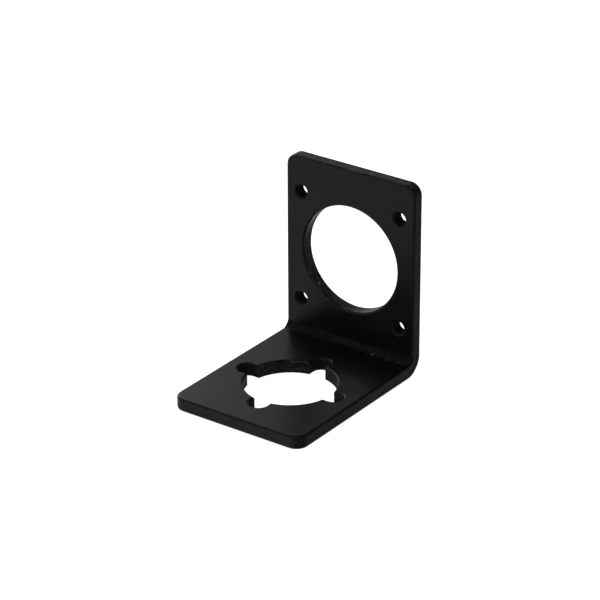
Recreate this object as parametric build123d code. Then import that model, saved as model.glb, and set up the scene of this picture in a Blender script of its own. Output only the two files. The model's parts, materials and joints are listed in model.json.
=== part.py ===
"""Motor mounting bracket: one flat blank of steel sheet, pierced, folded once and powder coated.

The bracket is an L. Its base lies on the floor of the frame and runs towards -Y, and its plate
stands up at the +Y end, across the fold. The plate carries a small stepper motor on a pilot hole
and four screw holes. The base has a round opening with four screw slots that open into it.

The origin is the middle of the bounding box's underside. X runs across the bracket, and Z is up.
"""

import os

from build123d import *

# The sheet and its fold, in millimetres. Its rims are rounded all over, apart from each hole's rim on
# the outer skin, where the punch comes out and leaves the metal almost sharp.
sheet = 2.7
inner_bend_radius = 1.35
edge_round = 0.45
punch_exit_round = 0.15

# The two legs, measured over the outside.
width = 30.0
base_length = 40.0
plate_height = 40.0
base_corner_radius = 2.6
plate_corner_radius = 2.4

# The motor's holes in the plate, about an axis that stands this far above the underside.
motor_axis_height = 21.1
pilot_diameter = 22.0
motor_screw_spacing = 23.0
motor_screw_diameter = 2.6

# The opening in the base, its centre this far in from the plate's outer face.
opening_setback = 22.3
opening_diameter = 18.2
slot_circle_diameter = 20.5
slot_width = 3.8
slot_count = 4

# Places that follow from the sizes above. Each hole's plane lies on the outer skin, facing inwards.
back_y = base_length / 2
free_y = -base_length / 2
plate_holes = Plane((0, back_y, motor_axis_height), x_dir=(1, 0, 0), z_dir=(0, -1, 0))
base_holes = Plane((0, back_y - opening_setback, 0))


def folded_strip():
    """The sheet as one strip, bent square, with the two legs still plain rectangles."""
    middle = sheet / 2
    with BuildPart() as strip:
        with BuildSketch(Plane.YZ):
            with BuildLine():
                FilletPolyline(
                    (free_y, middle),
                    (back_y - middle, middle),
                    (back_y - middle, plate_height),
                    radius=inner_bend_radius + middle,
                )
            trace(line_width=sheet)
        extrude(amount=width / 2, both=True)
    return strip.part


def round_corners(strip):
    """The strip with its four free corners rounded, two on the base and two on the plate."""
    base_corners = strip.edges().filter_by(Axis.Z).group_by(Axis.Y)[0]
    strip = fillet(base_corners, base_corner_radius)
    plate_corners = strip.edges().filter_by(Axis.Y).group_by(Axis.Z)[-1]
    return fillet(plate_corners, plate_corner_radius)


def round_rims(strip):
    """The strip with the sharp edges round both of its skins rounded."""
    sharp = ShapeList()
    for edge in strip.edges():
        normals = [face.normal_at(edge @ 0.5) for face in strip.faces() if edge in face.edges()]
        if len(normals) == 2 and normals[0].get_angle(normals[1]) > 1:
            sharp.append(edge)
    return fillet(sharp, edge_round)


def punched(outline):
    """The metal that one punch takes out: the hole, and the round of its rim on each skin.

    The punch goes in through the inner skin, at Z = sheet here, and comes out at Z = 0.
    """
    scrap = extrude(Rectangle(2 * width, 2 * width), sheet)
    pierced = scrap - extrude(outline, sheet)
    pierced = fillet(pierced.faces().sort_by(Axis.Z)[-1].inner_wires()[0].edges(), edge_round)
    pierced = fillet(pierced.faces().sort_by(Axis.Z)[0].inner_wires()[0].edges(), punch_exit_round)
    return scrap - pierced


def motor_holes():
    """What the pilot hole and the four screw holes take out of the plate."""
    pilot = punched(Circle(pilot_diameter / 2))
    screw = punched(Circle(motor_screw_diameter / 2))
    return plate_holes * (pilot + GridLocations(motor_screw_spacing, motor_screw_spacing, 2, 2) * screw)


def base_opening():
    """What the round opening, and the round-ended slot out of it on each side, take out of the base."""
    slot_reach = slot_circle_diameter / 2
    slot = punched(Pos(slot_reach / 2) * SlotCenterToCenter(slot_reach, slot_width))
    return base_holes * (punched(Circle(opening_diameter / 2)) + PolarLocations(0, slot_count) * slot)


def bracket_part():
    """The whole bracket: the folded strip with its rims rounded, and then the holes cut out."""
    bracket = round_rims(round_corners(folded_strip())) - motor_holes() - base_opening()
    bracket.label = "bracket"
    return bracket


os.makedirs("parts", exist_ok=True)
export_step(bracket_part(), "parts/bracket.step")
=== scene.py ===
import json
import math

import bmesh
import bpy
from mathutils import Matrix, Vector


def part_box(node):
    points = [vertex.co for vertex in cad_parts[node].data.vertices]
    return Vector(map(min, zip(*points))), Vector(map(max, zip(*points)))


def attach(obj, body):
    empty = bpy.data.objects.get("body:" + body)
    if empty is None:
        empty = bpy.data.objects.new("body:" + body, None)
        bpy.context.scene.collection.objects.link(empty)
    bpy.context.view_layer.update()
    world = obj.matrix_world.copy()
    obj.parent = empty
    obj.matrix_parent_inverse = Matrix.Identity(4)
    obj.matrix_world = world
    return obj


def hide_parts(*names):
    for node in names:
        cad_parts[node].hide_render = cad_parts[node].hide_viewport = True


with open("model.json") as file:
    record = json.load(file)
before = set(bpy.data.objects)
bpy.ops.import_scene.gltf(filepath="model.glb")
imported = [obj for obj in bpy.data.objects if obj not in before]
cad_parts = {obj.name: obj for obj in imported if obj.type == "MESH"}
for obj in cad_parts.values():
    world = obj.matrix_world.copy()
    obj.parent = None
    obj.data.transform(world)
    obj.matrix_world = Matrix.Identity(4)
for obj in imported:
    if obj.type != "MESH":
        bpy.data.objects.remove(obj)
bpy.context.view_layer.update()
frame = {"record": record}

# ------------------------------------------------------------------------------------------------
# The blank. One piece of mild-steel sheet is cut out flat, with all its holes, before it is folded.
# Its outside comes from the frame's box, and its sheet and holes come from the record's mounts. A
# point of it is (x across, s along from the base's free edge, w through from the outer skin).
# ------------------------------------------------------------------------------------------------
MM = 0.001
mounts = {mount["name"]: mount for mount in frame["record"]["mounts"]}
low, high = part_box("bracket")


def mount_place(name):
    """Where a mount lies, in metres."""
    return Vector(mounts[name]["pos_m"])


def mount_size(name, key):
    """One of a mount's sizes, in metres."""
    return mounts[name]["dims"][key] * MM


width = high.x - low.x
sheet = mount_place("plate_outer_face").y - mount_place("plate_inner_face").y
inner_bend_radius = 1.35 * MM
outer_bend_radius = inner_bend_radius + sheet
base_corner_radius = 2.6 * MM
plate_corner_radius = 2.4 * MM
edge_round = 0.45 * MM

# The neutral fibre of a bend keeps its length, so it sets how much of the blank the fold takes up.
neutral_share = 0.44
fold_length = (inner_bend_radius + neutral_share * sheet) * math.pi / 2
fold_start = high.y - low.y - outer_bend_radius
fold_end = fold_start + fold_length
blank_length = fold_end + high.z - low.z - outer_bend_radius

CORNER_STEPS = 10
FOLD_STEPS = 20


def arc(centre, radius, start, turn, steps):
    """Points along an arc in the blank's plane, both ends included. Angles are in degrees."""
    points = []
    for step in range(steps + 1):
        angle = math.radians(start + turn * step / steps)
        points.append((centre[0] + radius * math.cos(angle), centre[1] + radius * math.sin(angle)))
    return points


def blank_outline(inset):
    """The blank's edge, drawn in by inset: up the right side, over the plate and down the left."""
    side = width / 2 - inset
    base_x = width / 2 - base_corner_radius
    plate_x = width / 2 - plate_corner_radius
    plate_s = blank_length - plate_corner_radius
    base_arc = base_corner_radius - inset
    plate_arc = plate_corner_radius - inset
    folds = [
        fold_start + (fold_end - fold_start) * step / FOLD_STEPS for step in range(FOLD_STEPS + 1)
    ]
    return (
        [(side, s) for s in folds]
        + arc((plate_x, plate_s), plate_arc, 0, 90, CORNER_STEPS)
        + arc((-plate_x, plate_s), plate_arc, 90, 90, CORNER_STEPS)
        + [(-side, s) for s in reversed(folds)]
        + arc((-base_x, base_corner_radius), base_arc, 180, 90, CORNER_STEPS)
        + arc((base_x, base_corner_radius), base_arc, 270, 90, CORNER_STEPS)
    )


# ------------------------------------------------------------------------------------------------
# The motor's holes. A round pilot hole takes the ring on a small motor's face, and four holes
# round it take the screws. They are cut in the half of the blank that will stand up as the plate.
# ------------------------------------------------------------------------------------------------
PILOT_STEPS = 144
SCREW_STEPS = 48
motor_axis_s = fold_end + mount_place("motor_pilot_hole").z - low.z - outer_bend_radius
pilot_radius = mount_size("motor_pilot_hole", "r_mm")
screw_radius = mount_size("motor_screw_holes", "hole_r_mm")
screw_across = mount_size("motor_screw_holes", "spacing_x_mm") / 2
screw_up = mount_size("motor_screw_holes", "spacing_y_mm") / 2


def pilot_outline(inset):
    """The pilot hole's edge, with the metal drawn back by inset."""
    return arc((0, motor_axis_s), pilot_radius + inset, 0, 360, PILOT_STEPS)[:-1]


def screw_outline(side, level):
    """The edge of one screw hole, left or right (side -1 or 1) and low or high (level -1 or 1)."""
    centre = (side * screw_across, motor_axis_s + level * screw_up)
    return lambda inset: arc(centre, screw_radius + inset, 0, 360, SCREW_STEPS)[:-1]


# ------------------------------------------------------------------------------------------------
# The base's opening. It is round, with four round-ended slots that run out of it along and across
# the base, so that a gearbox with a raised boss can be screwed on. Where a slot meets the round
# edge, the metal ends in a sharp corner.
# ------------------------------------------------------------------------------------------------
opening_s = mount_place("base_boss_opening").y - low.y
opening_radius = mount_size("base_boss_opening", "r_mm")
slot_reach = 10.25 * MM
slot_half_width = 1.9 * MM
SLOTS = 4
SLOT_SIDE_STEPS = 3
SLOT_END_STEPS = 28
BETWEEN_SLOTS_STEPS = 30


def opening_outline(inset):
    """The opening's edge, with the metal drawn back by inset, one slot and one arc at a time."""
    half = slot_half_width + inset
    radius = opening_radius + inset
    mouth = math.sqrt(radius**2 - half**2)
    mouth_angle = math.degrees(math.atan2(half, mouth))
    between = 90 - 2 * mouth_angle
    run = [
        mouth + (slot_reach - mouth) * step / SLOT_SIDE_STEPS for step in range(SLOT_SIDE_STEPS)
    ]
    points = [(x, -half) for x in run]
    points += arc((slot_reach, 0), half, -90, 180, SLOT_END_STEPS)
    points += [(x, half) for x in reversed(run)]
    points += arc((0, 0), radius, mouth_angle, between, BETWEEN_SLOTS_STEPS)[1:-1]
    outline = []
    for slot in range(SLOTS):
        turn = Matrix.Rotation(math.tau * slot / SLOTS, 2)
        outline += [turn @ Vector(point) for point in points]
    return [(point.x, point.y + opening_s) for point in outline]


# ------------------------------------------------------------------------------------------------
# The rims. The blank is tumbled, so its outline is rounded on both skins. A punch makes each hole,
# and leaves it rounded on the inner skin, where it goes in, and almost sharp on the outer skin.
# ------------------------------------------------------------------------------------------------
punch_exit_round = 0.15 * MM
skin_margin = 0.2 * MM
RIM_STEPS = 6
WALL_STEPS = 8

# The mesh remembers, for the coat, where each point lay in the blank, how far it is round from the
# skin to a cut wall, and how streaky or dull that wall comes out. The streaks also carry a painted
# reflection.
flat = bmesh.new()
blank_place = flat.verts.layers.float_vector.new("blank_place")
cut_share = flat.verts.layers.float.new("cut_share")
streak_and_reflection_share = flat.verts.layers.float.new("streak_and_reflection_share")
dull_share = flat.verts.layers.float.new("dull_share")


def rim_profile(radius):
    """A rounded rim from the skin to the cut wall, as insets, depths and shares of the cut."""
    points = [(radius + skin_margin, 0, 0)]
    for step in range(RIM_STEPS + 1):
        angle = math.pi / 2 * step / RIM_STEPS
        inset = radius * (1 - math.sin(angle))
        depth = radius * (1 - math.cos(angle))
        points.append((inset, depth, step / RIM_STEPS))
    return points


def sweep_rim(outline, outer_round, kind=None):
    """The rims and the cut wall along an outline. Returns its ring on each skin, outer then inner."""
    wall_depth = sheet - edge_round - outer_round
    wall = [(0, outer_round + wall_depth * step / WALL_STEPS, 1) for step in range(1, WALL_STEPS)]
    inner = [(inset, sheet - depth, cut) for inset, depth, cut in reversed(rim_profile(edge_round))]
    rings = []
    for inset, w, cut in rim_profile(outer_round) + wall + inner:
        ring = []
        for x, s in outline(inset):
            vertex = flat.verts.new((x, s, w))
            vertex[blank_place] = (x, s, w)
            vertex[cut_share] = cut
            if kind:
                vertex[kind] = cut
            ring.append(vertex)
        rings.append(ring)
    for ring, following in zip(rings, rings[1:]):
        for index in range(len(ring)):
            after = (index + 1) % len(ring)
            flat.faces.new((ring[index], ring[after], following[after], following[index]))
    return rings[0], rings[-1]


def chain_edges(vertices):
    """The edges along a closed chain of vertices, made where the mesh doesn't have them yet."""
    edges = []
    for index, vertex in enumerate(vertices):
        pair = (vertices[index - 1], vertex)
        edges.append(flat.edges.get(pair) or flat.edges.new(pair))
    return edges


def fill_skin(*chains):
    """A flat skin between an outer chain of vertices and the holes in it."""
    edges = [edge for chain in chains for edge in chain_edges(chain)]
    bmesh.ops.triangle_fill(flat, edges=edges, use_beauty=True)


edge_rings = sweep_rim(blank_outline, edge_round)
pilot_rings = sweep_rim(pilot_outline, punch_exit_round, streak_and_reflection_share)
screw_rings = []
for side in (-1, 1):
    for level in (-1, 1):
        screw_rings.append(sweep_rim(screw_outline(side, level), punch_exit_round, dull_share))
opening_rings = sweep_rim(opening_outline, punch_exit_round, streak_and_reflection_share)

# The slots' walls are less streaky than the opening's round wall, and duller the further left they
# lie. Their streaks' painted reflection fades out to the left, a painted shade on the left slots. The
# plate's top edge is as streaky as the round walls, painted reflection included.
slot_dullness = 0.6
slot_streak_and_reflection = 0.5
slot_start = opening_radius + edge_round
top_edge_reach = 1.2 * edge_round

for vertex in flat.verts:
    x, s = vertex.co.x, vertex.co.y
    on_base = s < fold_start
    if vertex[streak_and_reflection_share] and on_base and math.hypot(x, s - opening_s) > slot_start:
        leftward_dull_and_shaded = min(max(0.5 - x / slot_reach, 0), 1)
        vertex[dull_share] = slot_dullness * leftward_dull_and_shaded * vertex[streak_and_reflection_share]
        vertex[streak_and_reflection_share] *= slot_streak_and_reflection * (1 - leftward_dull_and_shaded)
    if s > blank_length - top_edge_reach:
        vertex[streak_and_reflection_share] = vertex[cut_share]

# On each skin the fold is a ladder of rungs, with the base's skin below it and the plate's above.
left_side = FOLD_STEPS + 1 + 2 * (CORNER_STEPS + 1)
for skin, ring in enumerate(edge_rings):
    rights = ring[: FOLD_STEPS + 1]
    lefts = list(reversed(ring[left_side: left_side + FOLD_STEPS + 1]))
    for step in range(FOLD_STEPS):
        flat.faces.new((rights[step], rights[step + 1], lefts[step + 1], lefts[step]))
    plate_skin = ring[FOLD_STEPS: left_side + 1]
    base_skin = ring[left_side + FOLD_STEPS:] + ring[:1]
    fill_skin(plate_skin, pilot_rings[skin], *(rings[skin] for rings in screw_rings))
    fill_skin(base_skin, opening_rings[skin])

# ------------------------------------------------------------------------------------------------
# The fold. A press brake bends the blank square along one line. The stretched outer skin thins a
# little. At the two ends of the fold it draws in, and the squeezed inner skin swells out sideways.
# ------------------------------------------------------------------------------------------------
fold_swell = 0.14 * MM
swell_reach = 2 * MM
fold_thinning = 0.22 * MM
fold_axis_y = high.y - outer_bend_radius
fold_axis_z = low.z + outer_bend_radius

for vertex in flat.verts:
    x, s, w = vertex.co
    bend = min(max((s - fold_start) / fold_length, 0), 1)
    turn = bend * math.pi / 2
    swell = fold_swell * math.sin(math.pi * bend) * (2 * w / sheet - 1)
    near_end = min(max(1 - (width / 2 - abs(x)) / swell_reach, 0), 1)
    x += math.copysign(swell * near_end, x)
    if s < fold_start:
        vertex.co = (x, low.y + s, low.z + w)
    elif s > fold_end:
        vertex.co = (x, high.y - w, fold_axis_z + s - fold_end)
    else:
        thinner = fold_thinning * (1 - w / sheet) * math.sin(2 * turn) ** 2
        radius = outer_bend_radius - w - thinner
        y = fold_axis_y + radius * math.sin(turn)
        vertex.co = (x, y, fold_axis_z - radius * math.cos(turn))

bmesh.ops.recalc_face_normals(flat, faces=flat.faces)
bracket_mesh = bpy.data.meshes.new("folded_bracket")
flat.to_mesh(bracket_mesh)
flat.free()
sharp_edge_angle = math.radians(32)
bracket_mesh.shade_smooth()
bracket_mesh.set_sharp_from_angle(angle=sharp_edge_angle)

bracket = bpy.data.objects.new("folded_bracket", bracket_mesh)
bpy.context.scene.collection.objects.link(bracket)
even_normals = bracket.modifiers.new("even_normals", "WEIGHTED_NORMAL")
even_normals.keep_sharp = True
even_normals.weight = 80

# ------------------------------------------------------------------------------------------------
# The coat. Black polyester powder is baked on, satin, with a faint orange peel and a fine grain. It
# is glossier and a shade lighter over the rims, a thinner coat there with a painted highlight, and
# streaky on the round walls of the pilot hole and the opening, where pale streaks, flecks and glints
# are painted reflection. It is dull in the screw holes, and thin and patchy inside the fold, with a
# paler wedge and painted glints there.
# ------------------------------------------------------------------------------------------------


def feed(tree, socket, value):
    """Gives a socket a number, or another node's output."""
    if isinstance(value, (int, float)):
        socket.default_value = value
    else:
        tree.links.new(value, socket)


def maths(tree, operation, *values):
    """A math node fed by numbers or by other nodes' outputs. Returns its output."""
    node = tree.nodes.new("ShaderNodeMath")
    node.operation = operation
    for socket, value in zip(node.inputs, values):
        feed(tree, socket, value)
    return node.outputs[0]


def product(tree, first, *others):
    """All the values multiplied together."""
    for other in others:
        first = maths(tree, "MULTIPLY", first, other)
    return first


def away_from(tree, value, middle):
    """How far a value is from a middle one, either way."""
    return maths(tree, "ABSOLUTE", maths(tree, "SUBTRACT", value, middle))


def spread(tree, value, low_end, high_end):
    """Value remapped so that low_end gives 0 and high_end gives 1, smoothly and clamped."""
    node = tree.nodes.new("ShaderNodeMapRange")
    node.interpolation_type = "SMOOTHSTEP"
    node.inputs["From Min"].default_value = low_end
    node.inputs["From Max"].default_value = high_end
    tree.links.new(value, node.inputs["Value"])
    return node.outputs["Result"]


def noise(tree, place, per_metre, stretch=None, detail=2.0, roughness=0.5):
    """Noise with that many bumps to the metre, from 0 to 1. A stretch scales its place first."""
    if stretch:
        scaled = tree.nodes.new("ShaderNodeVectorMath")
        scaled.operation = "MULTIPLY"
        scaled.inputs[1].default_value = stretch
        tree.links.new(place, scaled.inputs[0])
        place = scaled.outputs["Vector"]
    node = tree.nodes.new("ShaderNodeTexNoise")
    node.inputs["Scale"].default_value = per_metre
    node.inputs["Detail"].default_value = detail
    node.inputs["Roughness"].default_value = roughness
    tree.links.new(place, node.inputs["Vector"])
    return node.outputs["Fac"]


def split(tree, place):
    """The three parts of a place."""
    node = tree.nodes.new("ShaderNodeSeparateXYZ")
    tree.links.new(place, node.inputs[0])
    return node.outputs


def new_group(name, inputs, outputs):
    """An empty group of shader nodes. Returns it, what it is given and what it gives back."""
    group = bpy.data.node_groups.new(name, "ShaderNodeTree")
    for socket, kind in inputs.items():
        group.interface.new_socket(socket, in_out="INPUT", socket_type="NodeSocket" + kind)
    for socket in outputs:
        group.interface.new_socket(socket, in_out="OUTPUT", socket_type="NodeSocketFloat")
    given = group.nodes.new("NodeGroupInput").outputs
    result = group.nodes.new("NodeGroupOutput").inputs
    return group, given, result


# Powder grain: orange peel and a fine grain in its height, pale specks, and clouds of duller skin.
peel_per_metre, grain_per_metre = 700, 3200
cloud_per_metre, speck_per_metre = 160, 1900
speck_from_cloud = 0.35
speck_edge, speck_full = 0.88, 1.0

powder_grain, given, result = new_group(
    "powder grain",
    {"Place": "Vector", "Peel": "Float", "Grain": "Float"},
    ["Height", "Specks", "Clouds"],
)
peel = noise(powder_grain, given["Place"], peel_per_metre)
fine = noise(powder_grain, given["Place"], grain_per_metre, detail=3.0)
peel_height = product(powder_grain, peel, given["Peel"])
height = maths(powder_grain, "MULTIPLY_ADD", fine, given["Grain"], peel_height)
feed(powder_grain, result["Height"], height)
clouds = noise(powder_grain, given["Place"], cloud_per_metre, detail=3.0)
feed(powder_grain, result["Clouds"], clouds)
speck = noise(powder_grain, given["Place"], speck_per_metre, detail=1.0)
speck = maths(powder_grain, "MULTIPLY_ADD", clouds, speck_from_cloud, speck)
feed(powder_grain, result["Specks"], spread(powder_grain, speck, speck_edge, speck_full))

# Sheared wall: torn near the outer skin, where the tool came out, and smooth beyond a wavy line.
# Its streaks, flecks and glints run along the edge. In the coat's colour the pale streaks and flecks
# are partly painted reflection, and the glints are painted highlights. Depth is 0 on the outer skin,
# 1 on the inner.
tear_per_metre, tear_wave, tear_depth, tear_edge = 450, 0.5, 0.28, 0.05
streak_per_metre, streak_stretch = 330, (1, 1, 5)
fleck_per_metre, fleck_stretch = 900, (1, 1, 3)
fleck_edge, fleck_full = 0.55, 0.75
glint_per_metre, glint_stretch = 1100, (1, 1, 2)
glint_edge, glint_full = 0.69, 0.77

sheared_wall_and_glints, given, result = new_group(
    "sheared wall and glints",
    {"Place": "Vector", "Depth": "Float"},
    ["Torn", "Streaks", "Flecks", "Glints"],
)
wave = noise(sheared_wall_and_glints, given["Place"], tear_per_metre)
torn_line = maths(sheared_wall_and_glints, "MULTIPLY_ADD", wave, tear_wave, tear_depth)
under_line = maths(sheared_wall_and_glints, "SUBTRACT", torn_line, given["Depth"])
feed(sheared_wall_and_glints, result["Torn"], spread(sheared_wall_and_glints, under_line, -tear_edge, tear_edge))
streaks = noise(
    sheared_wall_and_glints, given["Place"], streak_per_metre, streak_stretch, detail=4.0, roughness=0.7
)
feed(sheared_wall_and_glints, result["Streaks"], streaks)
fleck = noise(sheared_wall_and_glints, given["Place"], fleck_per_metre, fleck_stretch)
feed(sheared_wall_and_glints, result["Flecks"], spread(sheared_wall_and_glints, fleck, fleck_edge, fleck_full))
glint = noise(sheared_wall_and_glints, given["Place"], glint_per_metre, glint_stretch, detail=1.0)
feed(sheared_wall_and_glints, result["Glints"], spread(sheared_wall_and_glints, glint, glint_edge, glint_full))

# Starved fold: powder reaches the inside of the fold badly, and it is thin there in long patches.
# The fold is also paler in a wedge that widens to the right end, and has painted glints, painted
# highlights in its colour, in a few spots low down in the right half.
fold_middle = (fold_start + fold_end) / 2
inner_skin_depth = 0.8
fold_edge, fold_full = 0.6 * fold_length, 0.35 * fold_length
patch_per_metre, patch_stretch = 420, (0.25, 2, 1)
patch_edge, patch_full = 0.42, 0.62
wedge_slope = 0.12
wedge_edge, wedge_full = 0.5 * fold_length, 0.3 * fold_length
wedge_start_x, wedge_full_x = 0.1 * width, 0.45 * width
spot_per_metre = 1200
spot_edge, spot_full = 0.62, 0.72
spots_top, spots_foot = 0.7 * fold_length, 0.1 * fold_length
spots_x = 0.22 * width
spots_end, spots_full = 0.25 * width, 0.1 * width

starved_fold_and_glints, given, result = new_group(
    "starved fold and glints",
    {"Place": "Vector", "Depth": "Float"},
    ["Fold", "Starved", "Wedge", "Glints"],
)
parts = split(starved_fold_and_glints, given["Place"])
from_fold = away_from(starved_fold_and_glints, parts["Y"], fold_middle)
inside = spread(starved_fold_and_glints, given["Depth"], inner_skin_depth, 1.0)
in_fold = product(starved_fold_and_glints, spread(starved_fold_and_glints, from_fold, fold_edge, fold_full), inside)
feed(starved_fold_and_glints, result["Fold"], in_fold)

patch = noise(starved_fold_and_glints, given["Place"], patch_per_metre, patch_stretch, detail=4.0)
patches = spread(starved_fold_and_glints, patch, patch_edge, patch_full)
feed(starved_fold_and_glints, result["Starved"], product(starved_fold_and_glints, in_fold, patches))

# The wedge only makes the inside of the fold paler towards its right end.
widening = product(starved_fold_and_glints, parts["X"], wedge_slope)
reach = maths(starved_fold_and_glints, "SUBTRACT", from_fold, widening)
wedge = spread(starved_fold_and_glints, reach, wedge_edge, wedge_full)
rightward = spread(starved_fold_and_glints, parts["X"], wedge_start_x, wedge_full_x)
feed(starved_fold_and_glints, result["Wedge"], product(starved_fold_and_glints, wedge, rightward, inside))

# Painted glints: specks of painted highlight in the colour, low down in the fold's right half.
spot = noise(starved_fold_and_glints, given["Place"], spot_per_metre, detail=1.0)
spots = spread(starved_fold_and_glints, spot, spot_edge, spot_full)
up_fold = maths(starved_fold_and_glints, "SUBTRACT", parts["Y"], fold_start)
low_down = spread(starved_fold_and_glints, up_fold, spots_top, spots_foot)
from_spots = away_from(starved_fold_and_glints, parts["X"], spots_x)
right_half = spread(starved_fold_and_glints, from_spots, spots_end, spots_full)
spots = product(starved_fold_and_glints, spots, low_down, right_half, in_fold)
feed(starved_fold_and_glints, result["Glints"], spots)

coat = bpy.data.materials.new("black powder coat")
coat.use_nodes = True
tree = coat.node_tree
shader = tree.nodes["Principled BSDF"]
shader.inputs["Specular IOR Level"].default_value = 0.15


def attribute(name, output="Fac"):
    """A value or a vector that the bracket's mesh carries from point to point."""
    node = tree.nodes.new("ShaderNodeAttribute")
    node.attribute_name = name
    return node.outputs[output]


def placed(group, **inputs):
    """The coat's own copy of a node group. Returns what it gives back."""
    node = tree.nodes.new("ShaderNodeGroup")
    node.node_tree = group
    for name, value in inputs.items():
        feed(tree, node.inputs[name], value)
    return node.outputs


def with_each(total, shares):
    """The total, plus each share times the amount that goes with it."""
    for share, amount in shares:
        total = maths(tree, "MULTIPLY_ADD", share, amount, total)
    return total


# A rim is where the cut's share is near its middle value, between the skin's 0 and the wall's 1.
peel_depth, grain_depth = 1.1, 0.8
rim_middle, rim_edge, rim_full = 0.6, 0.45, 0.1
noise_middle = 0.5
flat_place = attribute("blank_place", "Vector")
cut = attribute("cut_share")
streak_and_reflection_mask = attribute("streak_and_reflection_share")
dull = attribute("dull_share")
depth = maths(tree, "DIVIDE", split(tree, flat_place)["Z"], sheet)
skin_place = tree.nodes.new("ShaderNodeTexCoord").outputs["Object"]
grain = placed(powder_grain, Place=skin_place, Peel=peel_depth, Grain=grain_depth)
wall = placed(sheared_wall_and_glints, Place=flat_place, Depth=depth)
fold = placed(starved_fold_and_glints, Place=flat_place, Depth=depth)
rim = spread(tree, away_from(tree, cut, rim_middle), rim_edge, rim_full)
cut_streaks = product(tree, maths(tree, "SUBTRACT", wall["Streaks"], noise_middle), cut)
more_cloud = maths(tree, "SUBTRACT", grain["Clouds"], noise_middle)

# How rough the skin is, and what each effect adds to that.
skin_roughness = 0.3
cut_roughness = 0.13
torn_roughness = 0.08
streak_roughness = 0.25
starved_roughness = 0.15
fold_roughness = 0.4
dull_roughness = 0.4
rim_roughness = -0.14
cloud_roughness = 0.32
roughness = with_each(skin_roughness, (
    (cut, cut_roughness),
    (product(tree, cut, wall["Torn"]), torn_roughness),
    (cut_streaks, streak_roughness),
    (fold["Starved"], starved_roughness),
    (fold["Fold"], fold_roughness),
    (dull, dull_roughness),
    (rim, rim_roughness),
    (more_cloud, cloud_roughness),
))
tree.links.new(roughness, shader.inputs["Roughness"])

# How far each effect takes the colour from a full coat's to a pale one: a thin coat in the specks
# and the fold's patches, a thin coat with a painted highlight on the rims, a paler wedge in the fold,
# and painted reflection and painted glints on the round walls and in the fold.
full_coat_colour = (0.0038, 0.0038, 0.0038, 1)
pale_coat_and_highlight_colour = (0.12, 0.122, 0.125, 1)
speck_thinness = 0.2
rim_thin_coat_and_highlight = 0.02
rim_fleck_thin_coat_and_highlight = 0.24
wall_fleck_and_reflection = 0.1
painted_wall_glint = 0.9
wall_streak_and_reflection = 0.18
pale_streak_edge, pale_streak_full = 0.42, 0.62
starved_thinness = 0.012
wedge_paleness = 0.015
painted_fold_glint = 0.9
pale_streaks_and_reflection = spread(tree, wall["Streaks"], pale_streak_edge, pale_streak_full)
thin_coat_and_painted_light = with_each(0.0, (
    (grain["Specks"], speck_thinness),
    # A thinner coat and a painted highlight along the rims.
    (product(tree, wall["Flecks"], rim), rim_fleck_thin_coat_and_highlight),
    # Painted reflection and painted glints on the round walls, over their real sheared streaks.
    (product(tree, wall["Flecks"], streak_and_reflection_mask), wall_fleck_and_reflection),
    (product(tree, wall["Glints"], streak_and_reflection_mask), painted_wall_glint),
    (product(tree, pale_streaks_and_reflection, streak_and_reflection_mask), wall_streak_and_reflection),
    (rim, rim_thin_coat_and_highlight),
    (fold["Starved"], starved_thinness),
    (fold["Wedge"], wedge_paleness),
    (fold["Glints"], painted_fold_glint),
))
colour = tree.nodes.new("ShaderNodeMix")
colour.data_type = "RGBA"
colour.inputs[6].default_value = full_coat_colour
colour.inputs[7].default_value = pale_coat_and_highlight_colour
tree.links.new(thin_coat_and_painted_light, colour.inputs["Factor"])
tree.links.new(colour.outputs[2], shader.inputs["Base Color"])

streak_height = 4.0
relief = maths(tree, "MULTIPLY_ADD", cut_streaks, streak_height, grain["Height"])
bump = tree.nodes.new("ShaderNodeBump")
bump.inputs["Strength"].default_value = 0.25
bump.inputs["Distance"].default_value = 0.05 * MM
tree.links.new(relief, bump.inputs["Height"])
tree.links.new(bump.outputs["Normal"], shader.inputs["Normal"])
bracket_mesh.materials.append(coat)

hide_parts("bracket")
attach(bracket, "root")

# ------------------------------------------------------------------------------------------------
# The bench. A wide white floor takes the bracket's shadow, and doesn't show in the gloss. A round
# dark card under the base's opening is a painted shadow: it shows only in the gloss, and its faint
# glow stands for the shaded floor there, so that the opening's walls mirror less light from below.
# ------------------------------------------------------------------------------------------------
floor_half = 4.0
floor_grey = 0.8
floor_glow = 0.86
floor_drop = 0.02 * MM
shadow_card_radius = 11 * MM
shadow_card_glow = 0.24
shadow_card_drop = 0.01 * MM
SHADOW_CARD_STEPS = 48


def matt(name, grey, roughness):
    """A material with no gloss, whose glow is white. Returns it and its shader."""
    material = bpy.data.materials.new(name)
    material.use_nodes = True
    paint = material.node_tree.nodes["Principled BSDF"]
    paint.inputs["Base Color"].default_value = (grey, grey, grey, 1)
    paint.inputs["Roughness"].default_value = roughness
    paint.inputs["Specular IOR Level"].default_value = 0.0
    paint.inputs["Emission Color"].default_value = (1, 1, 1, 1)
    return material, paint


def stage_sheet(name, corners, drop, material):
    """A flat sheet of one face that lies just under the bracket and isn't part of it."""
    mesh = bpy.data.meshes.new(name)
    mesh.from_pydata([(x, y, 0) for x, y in corners], [], [range(len(corners))])
    mesh.materials.append(material)
    sheet_object = bpy.data.objects.new(name, mesh)
    sheet_object.location.z = low.z - drop
    bpy.context.scene.collection.objects.link(sheet_object)
    return sheet_object


def seen_directly(tree):
    """1 for a ray from the camera, straight or through something clear, and 0 for any other."""
    rays = tree.nodes.new("ShaderNodeLightPath").outputs
    return maths(tree, "MAXIMUM", rays["Is Camera Ray"], rays["Is Transmission Ray"])


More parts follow.
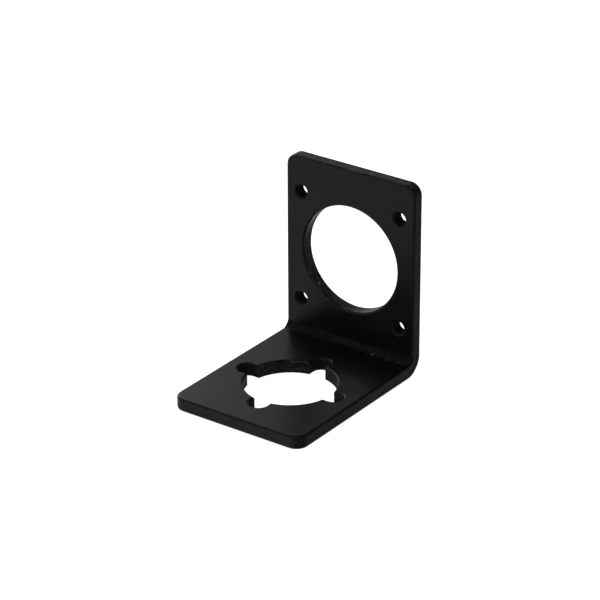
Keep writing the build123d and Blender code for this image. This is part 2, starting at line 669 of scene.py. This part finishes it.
white, paint = matt("white bench", grey=floor_grey, roughness=0.9)
tree = white.node_tree
tree.links.new(product(tree, seen_directly(tree), floor_glow), paint.inputs["Emission Strength"])
floor_corners = [(-1, -1), (1, -1), (1, 1), (-1, 1)]
floor_corners = [(x * floor_half, y * floor_half) for x, y in floor_corners]
floor = stage_sheet("floor", floor_corners, floor_drop, white)
floor.visible_glossy = False

# Painted shadow: the card's black and faint glow stand for the shaded floor under the opening, as the
# gloss sees it.
black, paint = matt("painted shadow card", grey=0.0, roughness=0.5)
paint.inputs["Emission Strength"].default_value = shadow_card_glow
opening_y = mount_place("base_boss_opening").y
shadow_card_corners = arc((0, opening_y), shadow_card_radius, 0, 360, SHADOW_CARD_STEPS)[:-1]
painted_shadow_card = stage_sheet("painted_shadow_card", shadow_card_corners, shadow_card_drop, black)
painted_shadow_card.visible_camera = False
painted_shadow_card.visible_diffuse = False
painted_shadow_card.visible_transmission = False
painted_shadow_card.visible_shadow = False

# ------------------------------------------------------------------------------------------------
# The studio. The sky is white to the eye, and it lights the bracket along with four softboxes. In
# the gloss it is a bright bench on the left under a sky that dims overhead, and a dark flag on the
# right. A darker panel is low on the left, and two paler cards low on the right, front and back.
# ------------------------------------------------------------------------------------------------
sky_level = 0.3
bench_gloss = 1.02
low_sky_gloss, high_sky_gloss = 0.52, 0.08
overhead_start, overhead_full = 0.45, 0.75
horizon_width = 0.15
low_flag_gloss, high_flag_gloss = 0.03, 0.0
flag_edge, lit_edge = -0.46, 0.02
panel_side, panel_edge, panel_middle = (-0.94, 0.32, 0.12), 0.8, 0.97
panel_gloss = 0.12
pale_cards = (
    {"side": (0.57, 0.76, -0.3), "edge": 0.75, "middle": 0.95, "gloss": 0.36},
    {"side": (0.93, -0.35, -0.1), "edge": 0.32, "middle": 0.75, "gloss": 0.35},
)

world = bpy.data.worlds.new("studio")
bpy.context.scene.world = world
world.use_nodes = True
tree = world.node_tree
direction = tree.nodes.new("ShaderNodeTexCoord").outputs["Generated"]


def blend(share, first, second):
    """First where share is 0 and second where it is 1."""
    node = tree.nodes.new("ShaderNodeMix")
    for name, value in (("Factor", share), ("A", first), ("B", second)):
        feed(tree, node.inputs[name], value)
    return node.outputs["Result"]


def towards(side, edge, middle):
    """1 near a side of the studio and 0 beyond the edge, both as how far a ray points that way."""
    node = tree.nodes.new("ShaderNodeVectorMath")
    node.operation = "DOT_PRODUCT"
    node.inputs[1].default_value = side
    tree.links.new(direction, node.inputs[0])
    return spread(tree, node.outputs["Value"], edge, middle)


above = towards((0, 0, 1), -horizon_width, horizon_width)
overhead = towards((0, 0, 1), overhead_start, overhead_full)
lit = blend(above, bench_gloss, blend(overhead, low_sky_gloss, high_sky_gloss))
lit = blend(towards(panel_side, panel_edge, panel_middle), lit, panel_gloss)
flag = blend(above, low_flag_gloss, high_flag_gloss)
gloss = blend(towards((-1, 0, 0), flag_edge, lit_edge), flag, lit)
for card in pale_cards:
    card_share = towards(card["side"], card["edge"], card["middle"])
    gloss = maths(tree, "MAXIMUM", gloss, product(tree, card_share, card["gloss"]))
glossy = tree.nodes.new("ShaderNodeLightPath").outputs["Is Glossy Ray"]
strength = blend(seen_directly(tree), blend(glossy, sky_level, gloss), 1.0)
sky = tree.nodes["Background"]
sky.inputs["Color"].default_value = (1, 1, 1, 1)
tree.links.new(strength, sky.inputs["Strength"])


def softbox(name, place, size, power):
    """A square area lamp that faces the middle of the bracket."""
    lamp = bpy.data.lights.new(name, "AREA")
    lamp.size = size
    lamp.energy = power
    holder = bpy.data.objects.new(name, lamp)
    holder.location = place
    aim = (low + high) / 2
    holder.rotation_euler = (aim - Vector(place)).to_track_quat("-Z", "Y").to_euler()
    bpy.context.scene.collection.objects.link(holder)


softbox("key", place=(-0.30, 0.12, 0.2), size=0.25, power=0.42)
softbox("top", place=(-0.27, -0.22, 0.37), size=0.2, power=0.12)
softbox("front", place=(0.1, -0.35, 0.33), size=0.2, power=0.25)
softbox("back", place=(-0.27, 0.2, 0.09), size=0.17, power=0.058)

# ------------------------------------------------------------------------------------------------
# The camera stands to the right of the bracket's front and looks down at it through a long lens.
# ------------------------------------------------------------------------------------------------
camera_azimuth = math.radians(35.99)
camera_height = math.radians(25.85)
camera_roll = math.radians(-0.2)
camera_distance = 576.1 * MM
camera_aim = Vector((-11.68, 17.05, 9.24)) * MM

back = Vector((
    math.sin(camera_azimuth) * math.cos(camera_height),
    -math.cos(camera_azimuth) * math.cos(camera_height),
    math.sin(camera_height),
))
camera_data = bpy.data.cameras.new("camera")
camera_data.lens = 175.0
camera_data.sensor_width = 36
camera_data.clip_start = 10 * MM
camera = bpy.data.objects.new("camera", camera_data)
camera.location = camera_aim + back * camera_distance
camera.rotation_euler = back.to_track_quat("Z", "Y").to_euler()
camera.rotation_euler.rotate_axis("Z", camera_roll)
bpy.context.scene.collection.objects.link(camera)
bpy.context.scene.camera = camera

bpy.context.scene.view_settings.view_transform = "Standard"
